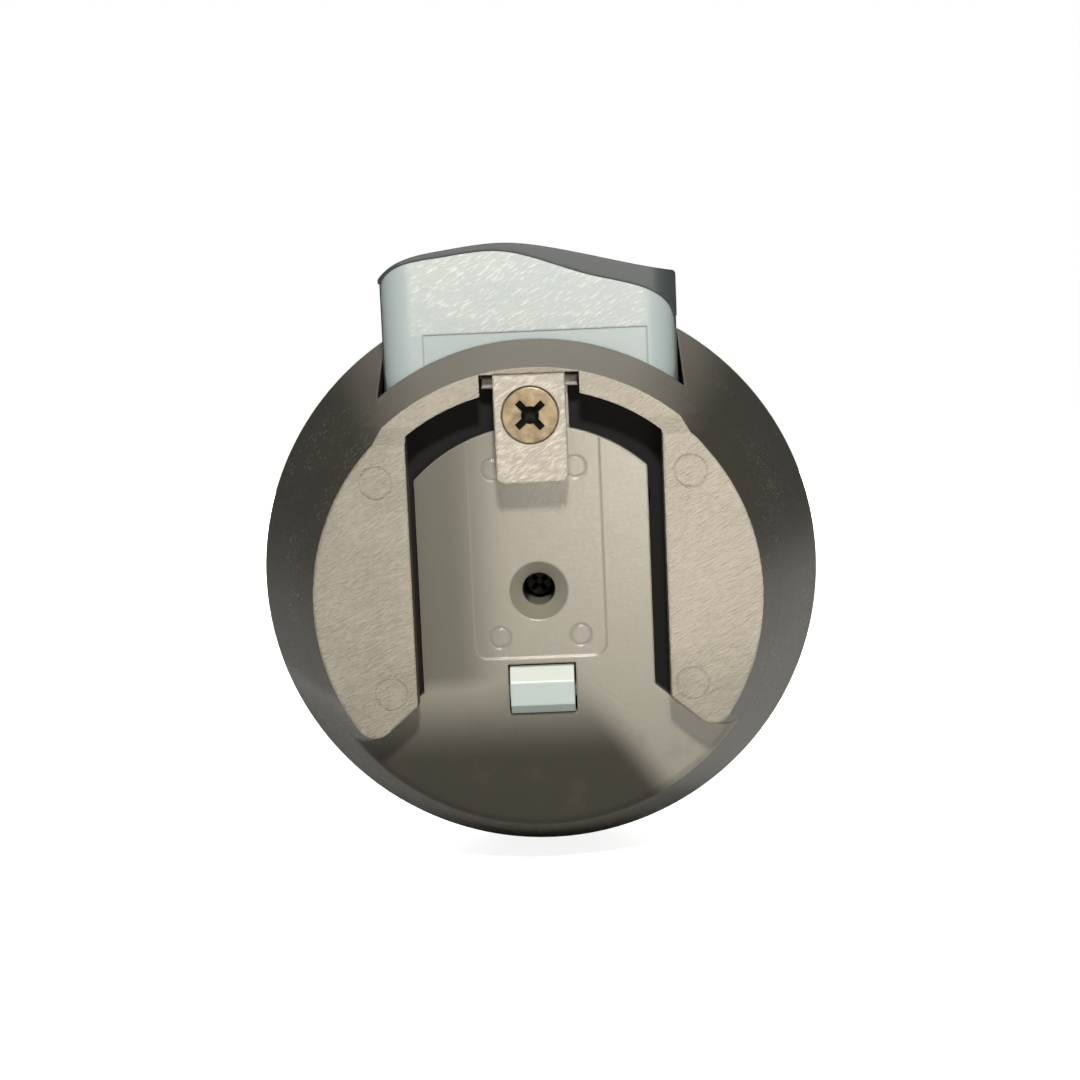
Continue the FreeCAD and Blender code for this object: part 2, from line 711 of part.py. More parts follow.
def slot_shield():
    """Thin black skirt behind the floor that closes the slots against dirt and light."""
    y = (floor_thickness + 0.1, floor_thickness + 0.1 + shield_thickness)
    cut_y = (y[0] - 1, y[1] + 1)
    grow = shield_overlap
    room = rod(inner_radius_at(y[0]) - 0.2, y)
    skirt = tombstone(channel_half + grow, channel_half + grow, channel_radius + grow, slot_low_z - 9,
                      y).common(room)
    skirt = skirt.cut(tombstone(plate_left - grow, plate_right - grow, plate_radius - grow, -60, cut_y))
    skirt = skirt.cut(rod(clip_boss_radius + 0.3, cut_y, z=screw_z))
    for x, z in chassis_screws_at:
        skirt = skirt.cut(both(rod(chassis_boss_radius + 0.3, cut_y, x, z)))
    return skirt


# Front half

def key_outline(gap, half, y, x):
    """The middle key is a rounded bar; the outer two are round."""
    radius = key_radius + gap
    body = rod(radius, y, x - half, key_z)
    if half > 0:
        body = body.fuse(rod(radius, y, x + half, key_z))
        body = body.fuse(block((x - half, x + half), y, (key_z - radius, key_z + radius)))
    return body.removeSplitter()


def key_places():
    """Name, x and half the straight part of each key."""
    return [("key_minus", key_x, 0.0), ("key_ok", 0.0, ok_key_half), ("key_plus", -key_x, 0.0)]


def front_openings(y):
    """Everything that passes through the fascia and the wall behind it."""
    cut = rounded_plate(window_half, window_z, y, window_corner)
    for _, x, half in key_places():
        cut = cut.fuse(key_outline(key_gap, half, y, x))
    cut = cut.fuse(rod(light_radius + 0.1, y, light_at[0], light_at[1]))
    for step in (-1, 0, 1):
        cut = cut.fuse(rod(sound_hole_radius, y, sounder_at[0], sounder_at[1] + step * sound_hole_pitch))
    return cut


def front_shell():
    outer = turned([(0, joint_y), (housing_radius, joint_y), (housing_radius, front_edge_y),
                    (front_edge_radius, front_y), (0, front_y)])
    outer = outer.makeFillet(front_edge_fillet, edges_where(outer,
                                                            lambda e: is_circle(e, housing_radius,
                                                                                front_edge_y)))
    outer = outer.makeFillet(rim_fillet, edges_where(outer,
                                                     lambda e: is_circle(e, front_edge_radius, front_y)))
    inner_radius = housing_radius - shell_wall
    cavity = turned([(0, joint_y - above), (inner_radius, joint_y - above),
                     (inner_radius, front_edge_y - 1),
                     (front_edge_radius - shell_wall, inner_face_y), (0, inner_face_y)])
    rebate_y = (joint_y - above, joint_y + register_length + seal_thickness)
    rebate = rod(inner_radius + register_thickness + fit_gap, rebate_y)
    shell = outer.cut(cavity).cut(rebate)
    shell = shell.cut(rod(fascia_radius + fit_gap, (front_y - fascia_thickness, front_y + above)))
    shell = shell.fuse(rod(post_radius, (centre_boss_y + 0.1, inner_face_y + 0.4)))
    for x, z in board_posts_at:
        shell = shell.fuse(both(rod(board_post_radius, (board_y[1], inner_face_y + 0.4), x, z)))
        shell = shell.cut(both(rod(small_screw_radius + 0.05, (board_y[1] - 1, inner_face_y - 0.6), x, z)))
    shell = shell.cut(rod(case_thread_radius + 0.05, (centre_boss_y - 1, case_screw_end_y + 1)))
    return shell.cut(front_openings((inner_face_y - 0.5, front_y + above))).removeSplitter()


def fascia():
    """Gloss front plate with the window, the key holes and a groove round the place where a card is held."""
    y = (front_y - fascia_thickness, front_y)
    plate_body = rod(fascia_radius, y)
    plate_body = plate_body.makeFillet(0.4, edges_where(plate_body,
                                                        lambda e: is_circle(e, fascia_radius, front_y)))
    plate_body = plate_body.cut(front_openings((y[0] - 1, y[1] + 1)))
    groove_y = (front_y - tap_groove_depth, front_y + 1)
    z = (tap_z - tap_half[1], tap_z + tap_half[1])
    inner_z = (z[0] + tap_groove, z[1] - tap_groove)
    outer_ring = rounded_plate(tap_half[0], z, groove_y, 4.0)
    inner_ring = rounded_plate(tap_half[0] - tap_groove, inner_z, (groove_y[0] - 1, groove_y[1] + 1),
                               4.0 - tap_groove)
    return plate_body.cut(outer_ring.cut(inner_ring))


def flange_z(extra):
    return (window_z[0] - extra, window_z[1] + extra)


def window_lens():
    gasket_low = inner_face_y - gasket_thickness
    flange = rounded_plate(window_half + lens_flange, flange_z(lens_flange),
                           (gasket_low - lens_flange_thickness, gasket_low), window_corner)
    z = (window_z[0] + fit_gap, window_z[1] - fit_gap)
    pane = rounded_plate(window_half - fit_gap, z, (gasket_low - 0.4, front_y), window_corner)
    return pane.fuse(flange).removeSplitter()


def lens_gasket():
    y = (inner_face_y - gasket_thickness, inner_face_y)
    outside = rounded_plate(window_half + lens_flange, flange_z(lens_flange), y, window_corner)
    hole = rounded_plate(window_half + 0.1, flange_z(0.1), (y[0] - 1, y[1] + 1), window_corner)
    return outside.cut(hole)


def display_panel():
    return block((-display_half, display_half), display_y, display_z)


def display_frame():
    """Holder that clips the display to the board."""
    wall = display_frame_wall
    outside = block((-display_half - wall, display_half + wall), (board_y[1], display_y[1] - 0.2),
                    (display_z[0] - wall, display_z[1] + wall))
    gap = 0.1
    room = block((-display_half - gap, display_half + gap), (display_y[0], display_y[1] + 1),
                 (display_z[0] - gap, display_z[1] + gap))
    middle = block((-display_half + 2, display_half - 2), (board_y[1] - 1, display_y[0] + 1),
                   (display_z[0] + 2, display_z[1] - 2))
    frame = outside.cut(room).cut(middle)
    return frame.cut(rod(post_radius + 0.3, (board_y[0], display_y[1])))


def key_cap(x, half, symbol):
    """A key with a flange behind the wall and a stem that reaches for its switch."""
    flange_y = (inner_face_y - key_rest_gap - key_flange_thickness, inner_face_y - key_rest_gap)
    cap = key_outline(0.0, half, (inner_face_y - 0.4, front_y + key_proud), x)
    cap = cap.makeFillet(0.6, edges_where(cap, lambda e: e.BoundBox.YMin > front_y + key_proud - 0.01))
    cap = cap.fuse(key_outline(key_flange, half, flange_y, x))
    stem_low = board_y[1] + switch_plunger + key_travel + 0.1
    cap = cap.fuse(rod(key_stem_radius, (stem_low, flange_y[0] + 0.2), x, key_z))
    for width, height in symbol:
        groove = block((x - width / 2, x + width / 2), (front_y + key_proud - symbol_depth,
                                                        front_y + key_proud + 1),
                       (key_z - height / 2, key_z + height / 2))
        cap = cap.cut(groove)
    return cap.removeSplitter()


def ok_symbol():
    """A ring groove on the middle key."""
    top_y = front_y + key_proud
    return ring(symbol_length / 2, symbol_length / 2 - 0.8, (top_y - symbol_depth, top_y + 1), z=key_z)


def tap_antenna():
    """Flat coil carrier behind the place where a card is held."""
    y = (inner_face_y - antenna_thickness, inner_face_y)
    z = (tap_z - tap_half[1], tap_z + tap_half[1])
    carrier = rounded_plate(tap_half[0], z, y, 3.0)
    hole = rounded_plate(tap_half[0] - 4, (z[0] + 4, z[1] - 4), (y[0] - 1, y[1] + 1), 1.5)
    return carrier.cut(hole)


def status_light():
    """Light pipe over the lamp on the board."""
    pipe = rod(light_radius, (board_y[1] + 1.0, front_y), light_at[0], light_at[1])
    collar = rod(light_radius + 1.0, (inner_face_y - 1.0, inner_face_y), light_at[0], light_at[1])
    return pipe.fuse(collar).removeSplitter()


def sounder():
    y = (board_y[1], board_y[1] + sounder_height)
    body = rod(sounder_radius, y, sounder_at[0], sounder_at[1])
    return body.cut(rod(0.9, (y[1] - 0.8, y[1] + 1), sounder_at[0], sounder_at[1]))


def main_board():
    board = rod(board_radius, board_y).common(block((-50, 50), (0, 50), (-50, board_top_z)))
    board = board.cut(rod(post_radius + 0.4, (board_y[0] - 1, board_y[1] + 1)))
    for x, z in board_posts_at:
        board = board.cut(both(rod(small_screw_radius + 0.2, (board_y[0] - 1, board_y[1] + 1), x, z)))
    return board


def board_components():
    """Processor, memory, crystal, capacitors and plug on the board's back, and the lamp on its front."""
    back = board_y[0]
    parts = [block((10, 22), (back - 1.6, back), (6, 18)),
             block((-20, -12), (back - 1.4, back), (12, 18)),
             block((-9, -5), (back - 2.2, back), (14, 22)),
             block((-26, -12), (back - 5.0, back), (1, 7)),
             rod(2.6, (back - 6.5, back), 28.5, 12.0),
             rod(2.6, (back - 6.5, back), -28.5, 16.0)]
    for step in range(6):
        parts.append(block((10 + step * 2.2, 11.2 + step * 2.2), (back - 0.7, back), (1.5, 3.5)))
    lamp_x, lamp_z = light_at
    parts.append(block((lamp_x - 0.9, lamp_x + 0.9), (board_y[1], board_y[1] + 0.8),
                       (lamp_z - 0.9, lamp_z + 0.9)))
    return Part.makeCompound(parts)


def key_switches():
    switches = []
    for _, x, _ in key_places():
        low, high = board_y[1], board_y[1] + switch_body
        body = block((x - switch_half, x + switch_half), (low, high),
                     (key_z - switch_half, key_z + switch_half))
        switches.append(body.fuse(rod(1.5, (high - 0.2, low + switch_plunger), x, key_z)))
    return Part.makeCompound(switches)


def board_screws():
    screws = []
    for x, z in board_posts_at:
        screw = small_screw(x, z, board_y[0], inner_face_y - 1.0, False)
        screws += [screw, mirrored(screw)]
    return Part.makeCompound(screws)


def cell(z, gap=0.0):
    half = cell_length / 2 + gap
    return Part.makeCylinder(cell_radius + gap, 2 * half, V(-half, cell_y, z), across)


def battery_cells():
    """Two cells side by side, turned end for end, each with its small end cap."""
    cells = []
    for turn, z in zip((1, -1), cell_z):
        body = Part.makeCylinder(cell_radius, cell_length - 1.2, V(-cell_length / 2, cell_y, z), across)
        cap = Part.makeCylinder(3.0, 1.4, V(cell_length / 2 - 1.4, cell_y, z), across)
        whole = body.fuse(cap)
        cells.append(whole if turn > 0 else mirrored(whole))
    return Part.makeCompound(cells)


def battery_tray():
    """Cradle between the cells and the board: end walls for the contacts, a saddle and a spine."""
    end_x = cell_length / 2 + contact_thickness + 0.1
    low_z, high_z = cell_z[1] - 5.0, cell_z[0] + 7.5
    wall = block((end_x, end_x + tray_wall), (cell_y - 6.5, board_y[0] - 0.2), (low_z, high_z))
    spine_z = (cell_z[0] + cell_z[1]) / 2
    spine = block((-end_x - 0.5, end_x + 0.5), (cell_y + 5.8, board_y[0] - 0.2),
                  (spine_z - 2.4, spine_z + 2.4))
    saddle = block((-1.5, 1.5), (cell_y + 2.0, board_y[0] - 0.2), (low_z, high_z))
    tray = both(wall).fuse(spine).fuse(saddle)
    for z in cell_z:
        tray = tray.cut(cell(z, tray_gap))
    return tray.removeSplitter()


def battery_contacts():
    x = cell_length / 2 + 0.05
    contacts = []
    for z in cell_z:
        contact = block((x, x + contact_thickness), (cell_y - contact_half, cell_y + contact_half),
                        (z - contact_half, z + contact_half))
        contacts += [contact, mirrored(contact)]
    return Part.makeCompound(contacts)


def all_parts():
    minus = [(symbol_length, symbol_width)]
    plus = minus + [(symbol_width, symbol_length)]
    made = {"rear_shell": rear_shell(), "retainer_clip": retainer_clip(),
            "retainer_screw": retainer_screw(),
            "slot_shield": slot_shield(), "case_screw": case_screw(),
            "release_button": release_button(), "button_cap": button_cap(),
            "release_slider": release_slider(), "latch_bolt": latch_bolt(), "latch_spring": latch_spring(),
            "return_springs": return_springs(), "inner_chassis": inner_chassis(),
            "chassis_screws": chassis_screws(), "perimeter_seal": perimeter_seal(),
            "front_shell": front_shell(), "fascia": fascia(), "window_lens": window_lens(),
            "lens_gasket": lens_gasket(), "display_panel": display_panel(),
            "display_frame": display_frame(),
            "tap_antenna": tap_antenna(), "status_light": status_light(), "sounder": sounder(),
            "main_board": main_board(), "board_components": board_components(),
            "key_switches": key_switches(),
            "board_screws": board_screws(), "battery_cells": battery_cells(),
            "battery_tray": battery_tray(),
            "battery_contacts": battery_contacts()}
    symbols = {"key_minus": minus, "key_ok": [], "key_plus": plus}
    for name, x, half in key_places():
        made[name] = key_cap(x, half, symbols[name])
    made["key_ok"] = made["key_ok"].cut(ok_symbol())
    return made


def main():
    os.makedirs("parts", exist_ok=True)
    for name, shape in all_parts().items():
        if not shape.isValid() or shape.Volume <= 0:
            raise ValueError(name + " is not a valid solid")
        shape.exportStep(os.path.join("parts", name + ".step"))
        print(name, len(shape.Solids), "solids", round(shape.Volume), "mm3")


main()
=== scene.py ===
import math
import bmesh
import bpy
from mathutils import Matrix, Vector


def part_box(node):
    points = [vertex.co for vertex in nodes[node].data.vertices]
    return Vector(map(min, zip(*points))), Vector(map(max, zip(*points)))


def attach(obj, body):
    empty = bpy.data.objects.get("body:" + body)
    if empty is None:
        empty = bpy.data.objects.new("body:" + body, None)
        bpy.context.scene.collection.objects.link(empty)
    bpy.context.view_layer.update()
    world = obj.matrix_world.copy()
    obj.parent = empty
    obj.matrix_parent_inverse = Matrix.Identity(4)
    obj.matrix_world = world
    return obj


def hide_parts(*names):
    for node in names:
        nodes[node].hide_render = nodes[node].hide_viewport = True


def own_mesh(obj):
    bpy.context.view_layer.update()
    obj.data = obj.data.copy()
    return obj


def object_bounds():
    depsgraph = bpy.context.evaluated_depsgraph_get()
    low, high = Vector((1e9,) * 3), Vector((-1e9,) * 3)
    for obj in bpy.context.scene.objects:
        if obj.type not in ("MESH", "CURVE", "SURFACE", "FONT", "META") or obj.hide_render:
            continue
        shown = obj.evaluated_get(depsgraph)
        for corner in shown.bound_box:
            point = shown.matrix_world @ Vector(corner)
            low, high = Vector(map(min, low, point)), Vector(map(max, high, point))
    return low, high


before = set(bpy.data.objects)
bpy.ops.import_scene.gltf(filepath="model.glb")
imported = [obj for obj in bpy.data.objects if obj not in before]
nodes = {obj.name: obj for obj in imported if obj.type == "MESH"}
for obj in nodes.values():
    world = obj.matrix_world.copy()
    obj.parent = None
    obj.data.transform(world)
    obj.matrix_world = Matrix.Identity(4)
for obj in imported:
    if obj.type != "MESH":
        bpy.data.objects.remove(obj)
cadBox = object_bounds()
print("frame loaded")

mm = 0.001
scene = bpy.context.scene


# small helpers

def toLinear(hexColour):
    # an sRGB hex colour as linear rgba
    parts = [int(hexColour[i:i + 2], 16) / 255 for i in (1, 3, 5)]
    linear = [c / 12.92 if c <= 0.04045 else ((c + 0.055) / 1.055) ** 2.4 for c in parts]
    return (*linear, 1.0)


def addNode(tree, kind, inputs=None, **settings):
    # a node with its settings, its values and its links; an input given as (node, socket) is linked
    made = tree.nodes.new("ShaderNode" + kind)
    for key, value in settings.items():
        setattr(made, key, value)
    for key, value in (inputs or {}).items():
        if isinstance(value, tuple) and isinstance(value[0], bpy.types.Node):
            tree.links.new(value[0].outputs[value[1]], made.inputs[key])
        else:
            made.inputs[key].default_value = value
    return made


def startMaterial(name, hexColour, roughness, **constants):
    # a principled material; constants go straight on the shader's own sockets
    material = bpy.data.materials.new(name)
    material.use_nodes = True
    tree = material.node_tree
    shader = tree.nodes["Principled BSDF"]
    shader.inputs["Base Color"].default_value = toLinear(hexColour)
    shader.inputs["Roughness"].default_value = roughness
    for key, value in constants.items():
        shader.inputs[key.replace("_", " ")].default_value = value
    coords = addNode(tree, "TexCoord")
    return material, tree, shader, coords


def perMetre(sizeMm):
    # a texture scale whose features are about this size in millimetres
    return 1 / (sizeMm * mm)


def setMaterial(obj, material):
    obj.data.materials.clear()
    obj.data.materials.append(material)


def addPiece(name, work, material, body="head"):
    # a finished mesh as a new piece that rides on a body
    mesh = bpy.data.meshes.new(name)
    work.to_mesh(mesh)
    work.free()
    piece = bpy.data.objects.new(name, mesh)
    scene.collection.objects.link(piece)
    setMaterial(piece, material)
    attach(piece, body)
    return piece


def addBlock(work, low, high):
    # a box between two corners in millimetres
    middle = (Vector(low) + Vector(high)) / 2
    size = Vector(high) - Vector(low)
    place = Matrix.Translation(middle * mm) @ Matrix.Diagonal((*(size * mm), 1))
    bmesh.ops.create_cube(work, size=1, matrix=place)


# camera

cameraSettings = {"azimuth": 1.15, "elevation": 8.66, "roll": -2.51, "distance": 329.5, "lens": 70.46,
                  "aimUp": 7.93, "aimRight": 0.2}


def makeCamera(s):
    az, el, roll = (math.radians(s[k]) for k in ("azimuth", "elevation", "roll"))
    back = Vector((math.sin(az) * math.cos(el), -math.cos(az) * math.cos(el), math.sin(el)))
    place = back * s["distance"] * mm
    right = Vector((math.cos(az), math.sin(az), 0))
    up = back.cross(right)
    tiltedRight = right * math.cos(roll) + up * math.sin(roll)
    tiltedUp = up * math.cos(roll) - right * math.sin(roll)
    aim = tiltedUp * s["aimUp"] * mm + tiltedRight * s["aimRight"] * mm
    back = (place - aim).normalized()
    right = tiltedUp.cross(back).normalized()
    up = back.cross(right)
    data = bpy.data.cameras.new("camera")
    data.lens = s["lens"]
    data.sensor_width = 36
    data.clip_start = 0.01
    data.clip_end = 50
    camera = bpy.data.objects.new("camera", data)
    turn = Matrix((right, up, back)).transposed().to_4x4()
    camera.matrix_world = Matrix.Translation(place) @ turn
    scene.collection.objects.link(camera)
    scene.camera = camera


makeCamera(cameraSettings)
print("camera placed")


# materials

housing = {"shoulder": "#33322b", "shoulderTopLight": "#6c6962", "floor": "#6c6a61", "floorPaintedShade": "#2a2924",
           "raised": "#948f85", "raisedDark": "#625f56", "worn": "#a29c91", "scratch": "#8b877d",
           "stain": "#3a342e",
           "shoulderRough": 0.42, "floorRough": 0.26, "raisedRough": 0.62, "streakDeg": 30,
           "grainMm": (1.3, 0.26), "scratchMm": (3.4, 0.30), "edgeMm": 0.45, "raisedBump": 1.0,
           "floorBump": 0.07,
           "dockY": 2.7, "railY": -2.0, "pitMm": 0.7, "spreadMm": 17, "stainMm": 7, "mottleMm": 9,
           "paintedShadeZ": (-10, -27), "paintedShadeSlope": 0.75, "paintedShadeEdge": (-9, -1), "paintedShadeRight": 0.12,
           "padShadowX": (-3, -14), "padShadowZ": (-17, -13), "padShadowShare": 0.62, "stainShare": 0.3,
           "paintedLightRightX": (-34, 20), "paintedLightRightShare": (0.25, 0.8), "paintedLightTopZ": (-22, -2), "paintedLightTopShare": (0.25, 1.0),
           "topLightFacing": (0.62, 0.86)}


def makeHousingPlastic(s):
    # black ABS-PC: the dock's rails are spark-eroded and scuffed pale, with painted light that makes them
    # paler towards the right and the top; its floor is satin, with painted shade over its lower middle and
    # a painted shadow along its left side; and the polished shoulder stays deep with a few light scratches,
    # its upward faces painted paler as painted light from above
    material, tree, shader, coords = startMaterial("mouldedAbsHousing", s["raised"], 0.55)
    place = (coords, "Object")
    apart = addNode(tree, "SeparateXYZ", {0: place})
    facing = addNode(tree, "SeparateXYZ", {0: (coords, "Normal")})
    # 1 where the surface faces backwards and lies on the dock side
    flatly = addNode(tree, "MapRange", {0: (facing, 1), 1: -0.5, 2: -0.62})
    behind = addNode(tree, "Math", {0: (apart, 1), 1: s["dockY"] * mm}, operation="LESS_THAN")
    flat = addNode(tree, "Math", {0: (flatly, 0), 1: (behind, 0)}, operation="MULTIPLY")
    high = addNode(tree, "Math", {0: (apart, 1), 1: s["railY"] * mm}, operation="LESS_THAN")
    raised = addNode(tree, "Math", {0: (flat, 0), 1: (high, 0)}, operation="MULTIPLY")

    # streaky grain and sparse scratches, both along one slanting direction
    slant = addNode(tree, "Mapping", {0: place, "Rotation": (0, math.radians(s["streakDeg"]), 0)})
    long, across = s["grainMm"]
    stretched = addNode(tree, "Mapping", {0: (slant, 0),
                                          "Scale": (perMetre(long), perMetre(across), perMetre(across))})
    streaks = addNode(tree, "TexNoise", {"Vector": (stretched, 0), "Scale": 1.0, "Detail": 3.0,
                                         "Roughness": 0.55})
    pits = addNode(tree, "TexNoise", {"Vector": place, "Scale": perMetre(s["pitMm"]), "Detail": 3.0,
                                      "Roughness": 0.6})
    grain = addNode(tree, "Mix", {0: 0.25, 2: (streaks, 0), 3: (pits, 0)})
    long, across = s["scratchMm"]
    thin = addNode(tree, "Mapping", {0: (slant, 0), "Scale": (perMetre(long), perMetre(across),
                                                              perMetre(across))})
    lines = addNode(tree, "TexNoise", {"Vector": (thin, 0), "Scale": 1.0, "Detail": 1.0})
    lineHits = addNode(tree, "MapRange", {0: (lines, 0), 1: 0.66, 2: 0.72})
    where = addNode(tree, "TexNoise", {"Vector": place, "Scale": perMetre(s["spreadMm"]), "Detail": 2.0})
    whereHits = addNode(tree, "MapRange", {0: (where, 0), 1: 0.44, 2: 0.6})
    scratches = addNode(tree, "Math", {0: (lineHits, 0), 1: (whereHits, 0)}, operation="MULTIPLY")

    # painted shade: the floor's lower middle is painted darker, with a slanting edge towards the right
    low = addNode(tree, "MapRange", {0: (apart, 2), 1: s["paintedShadeZ"][0] * mm, 2: s["paintedShadeZ"][1] * mm,
                                     3: 0.0, 4: 1.0},
                  interpolation_type="SMOOTHSTEP")
    slope = addNode(tree, "Math", {0: (apart, 2), 1: s["paintedShadeSlope"], 2: (apart, 0)},
                    operation="MULTIPLY_ADD")
    side = addNode(tree, "MapRange", {0: (slope, 0), 1: s["paintedShadeEdge"][0] * mm,
                                      2: s["paintedShadeEdge"][1] * mm, 3: 1.0, 4: s["paintedShadeRight"]},
                   interpolation_type="SMOOTHSTEP")
    paintedShade = addNode(tree, "Math", {0: (low, 0), 1: (side, 0)}, operation="MULTIPLY")
    # and a painted shadow of the left rail along the floor's left side
    padShadow = addNode(tree, "MapRange", {0: (apart, 0), 1: s["padShadowX"][0] * mm, 2: s["padShadowX"][1] * mm, 3: 0.0,
                                      4: s["padShadowShare"]},
                   interpolation_type="SMOOTHSTEP")
    padShadowEnd = addNode(tree, "MapRange", {0: (apart, 2), 1: s["padShadowZ"][0] * mm, 2: s["padShadowZ"][1] * mm})
    padShadow = addNode(tree, "Math", {0: (padShadow, 0), 1: (padShadowEnd, 0)}, operation="MULTIPLY")
    paintedShade = addNode(tree, "Math", {0: (paintedShade, 0), 1: (padShadow, 0)}, operation="MAXIMUM")
    spots = addNode(tree, "TexNoise", {"Vector": place, "Scale": perMetre(s["stainMm"]), "Detail": 5.0,
                                       "Roughness": 0.6})
    stain = addNode(tree, "MapRange", {0: (spots, 0), 1: 0.53, 2: 0.68, 3: 0.0, 4: s["stainShare"]})
    stained = addNode(tree, "Math", {0: (stain, 0), 1: (low, 0)}, operation="MULTIPLY")

    # colours: shoulder, then floor, then rails
    mottle = addNode(tree, "TexNoise", {"Vector": place, "Scale": perMetre(s["mottleMm"]), "Detail": 6.0,
                                        "Roughness": 0.55})
    dragged = addNode(tree, "Mix", {0: 0.6, 2: (mottle, 0), 3: (grain, 0)})
    mottleAndPaintedLight = addNode(tree, "MapRange", {0: (dragged, 0), 1: 0.40, 2: 0.58})
    # painted light: the rails are painted paler towards the right and the top
    paintedLightRight = addNode(tree, "MapRange", {0: (apart, 0), 1: s["paintedLightRightX"][0] * mm, 2: s["paintedLightRightX"][1] * mm,
                                      3: s["paintedLightRightShare"][0], 4: s["paintedLightRightShare"][1]})
    paintedLightTop = addNode(tree, "MapRange", {0: (apart, 2), 1: s["paintedLightTopZ"][0] * mm, 2: s["paintedLightTopZ"][1] * mm,
                                      3: s["paintedLightTopShare"][0], 4: s["paintedLightTopShare"][1]})
    paintedHighlight = addNode(tree, "Math", {0: (paintedLightRight, 0), 1: (paintedLightTop, 0)}, operation="MULTIPLY")
    mottleAndPaintedLight = addNode(tree, "Math", {0: (mottleAndPaintedLight, 0), 1: 0.35, 2: (paintedHighlight, 0)}, operation="MULTIPLY_ADD",
                     use_clamp=True)
    rails = addNode(tree, "Mix", {0: (mottleAndPaintedLight, 0), 6: toLinear(s["raisedDark"]), 7: toLinear(s["raised"])},
                    data_type="RGBA")
    # painted shade: the floor's colour darkens under the painted shade mask
    floorBase = addNode(tree, "Mix", {0: (paintedShade, 0), 6: toLinear(s["floor"]), 7: toLinear(s["floorPaintedShade"])},
                        data_type="RGBA")
    floor = addNode(tree, "Mix", {0: (stained, 0), 6: (floorBase, 2), 7: toLinear(s["stain"])},
                    data_type="RGBA")
    shoulder = addNode(tree, "Mix", {0: (scratches, 0), 6: toLinear(s["shoulder"]),
                                     7: toLinear(s["scratch"])},
                       data_type="RGBA")
    # painted light: the shoulder's upward faces are painted paler, as if lit from above
    upwardLit = addNode(tree, "MapRange", {0: (facing, 2), 1: s["topLightFacing"][0], 2: s["topLightFacing"][1]},
                     interpolation_type="SMOOTHSTEP")
    shoulder = addNode(tree, "Mix", {0: (upwardLit, 0), 6: (shoulder, 2), 7: toLinear(s["shoulderTopLight"])},
                       data_type="RGBA")
    body = addNode(tree, "Mix", {0: (flat, 0), 6: (shoulder, 2), 7: (floor, 2)}, data_type="RGBA")
    body = addNode(tree, "Mix", {0: (raised, 0), 6: (body, 2), 7: (rails, 2)}, data_type="RGBA")

    # paler edges, partly wear and partly a painted edge highlight
    soft = addNode(tree, "Bevel", {"Radius": s["edgeMm"] * mm}, samples=6)
    sharp = addNode(tree, "NewGeometry")
    agree = addNode(tree, "VectorMath", {0: (soft, 0), 1: (sharp, "True Normal")}, operation="DOT_PRODUCT")
    edge = addNode(tree, "MapRange", {0: (agree, "Value"), 1: 0.975, 2: 0.72, 3: 0.0, 4: 0.7})
    edgeFlat = addNode(tree, "Math", {0: (edge, 0), 1: (flat, 0)}, operation="MULTIPLY")
    colour = addNode(tree, "Mix", {0: (edgeFlat, 0), 6: (body, 2), 7: toLinear(s["worn"])},
                     data_type="RGBA")
    tree.links.new(colour.outputs[2], shader.inputs["Base Color"])

    rough = addNode(tree, "Mix", {0: (flat, 0), 2: s["shoulderRough"], 3: s["floorRough"]})
    worn = addNode(tree, "Math", {0: (paintedShade, 0), 1: 0.22, 2: (rough, 0)}, operation="MULTIPLY_ADD")
    rough = addNode(tree, "Mix", {0: (raised, 0), 2: (worn, 0), 3: s["raisedRough"]})
    tree.links.new(rough.outputs[0], shader.inputs["Roughness"])
    polish = addNode(tree, "Math", {0: (paintedShade, 0), 1: -0.6, 2: 0.75}, operation="MULTIPLY_ADD")
    gloss = addNode(tree, "Mix", {0: (flat, 0), 2: 0.2, 3: (polish, 0)})
    gloss = addNode(tree, "Mix", {0: (raised, 0), 2: (gloss, 0), 3: 0.5})
    tree.links.new(gloss.outputs[0], shader.inputs["Specular IOR Level"])
    depth = addNode(tree, "Mix", {0: (raised, 0), 2: s["floorBump"], 3: s["raisedBump"]})
    bump = addNode(tree, "Bump", {"Height": (grain, 0), "Strength": (depth, 0), "Distance": 0.6 * mm,
                                  "Normal": (soft, 0)})
    tree.links.new(bump.outputs[0], shader.inputs["Normal"])
    return material


clip = {"colour": "#86827a", "pale": "#b3ada2", "grainMm": (1.5, 0.38), "streakDeg": 30, "edgeMm": 0.35,
        "bump": 0.9}


